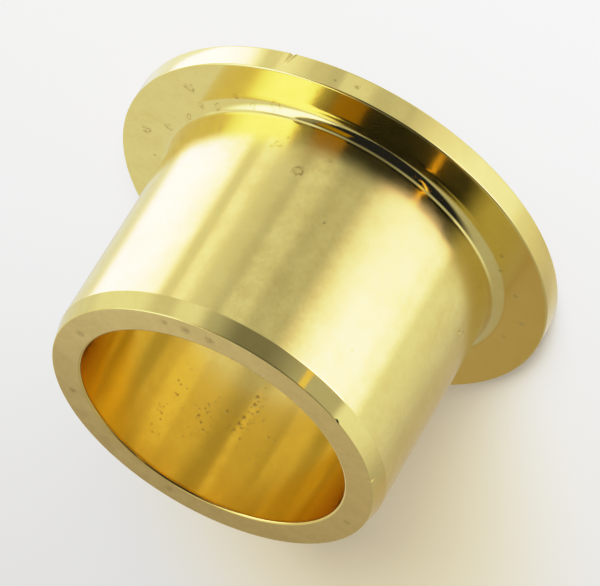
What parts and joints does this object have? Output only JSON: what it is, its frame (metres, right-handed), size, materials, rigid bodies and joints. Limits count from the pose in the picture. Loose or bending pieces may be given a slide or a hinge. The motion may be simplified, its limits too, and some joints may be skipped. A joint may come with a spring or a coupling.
{
  "type": "flanged sleeve bushing",
  "caption": "Plain flanged sleeve bushing turned in one piece from bearing bronze, with a smooth through bore, a press-fit sleeve with a tapered lead-in, and a thin thrust flange.",
  "frame": {"origin": "centre of the bore at the flange's outer face, which the bushing stands on", "axes": "+Z along the bore axis, from the flange towards the sleeve's tapered free end; X and Y are any two directions across it, as the part is round"},
  "size_m": [0.033, 0.033, 0.02],
  "materials": {
    "turned_bronze": "turned and polished, satin on the faced sleeve end, straight draw lines and small casting pits in the bore"
  },
  "bodies": {
    "root": {"flanged_bushing": "turned_bronze"}
  },
  "joints": []
}
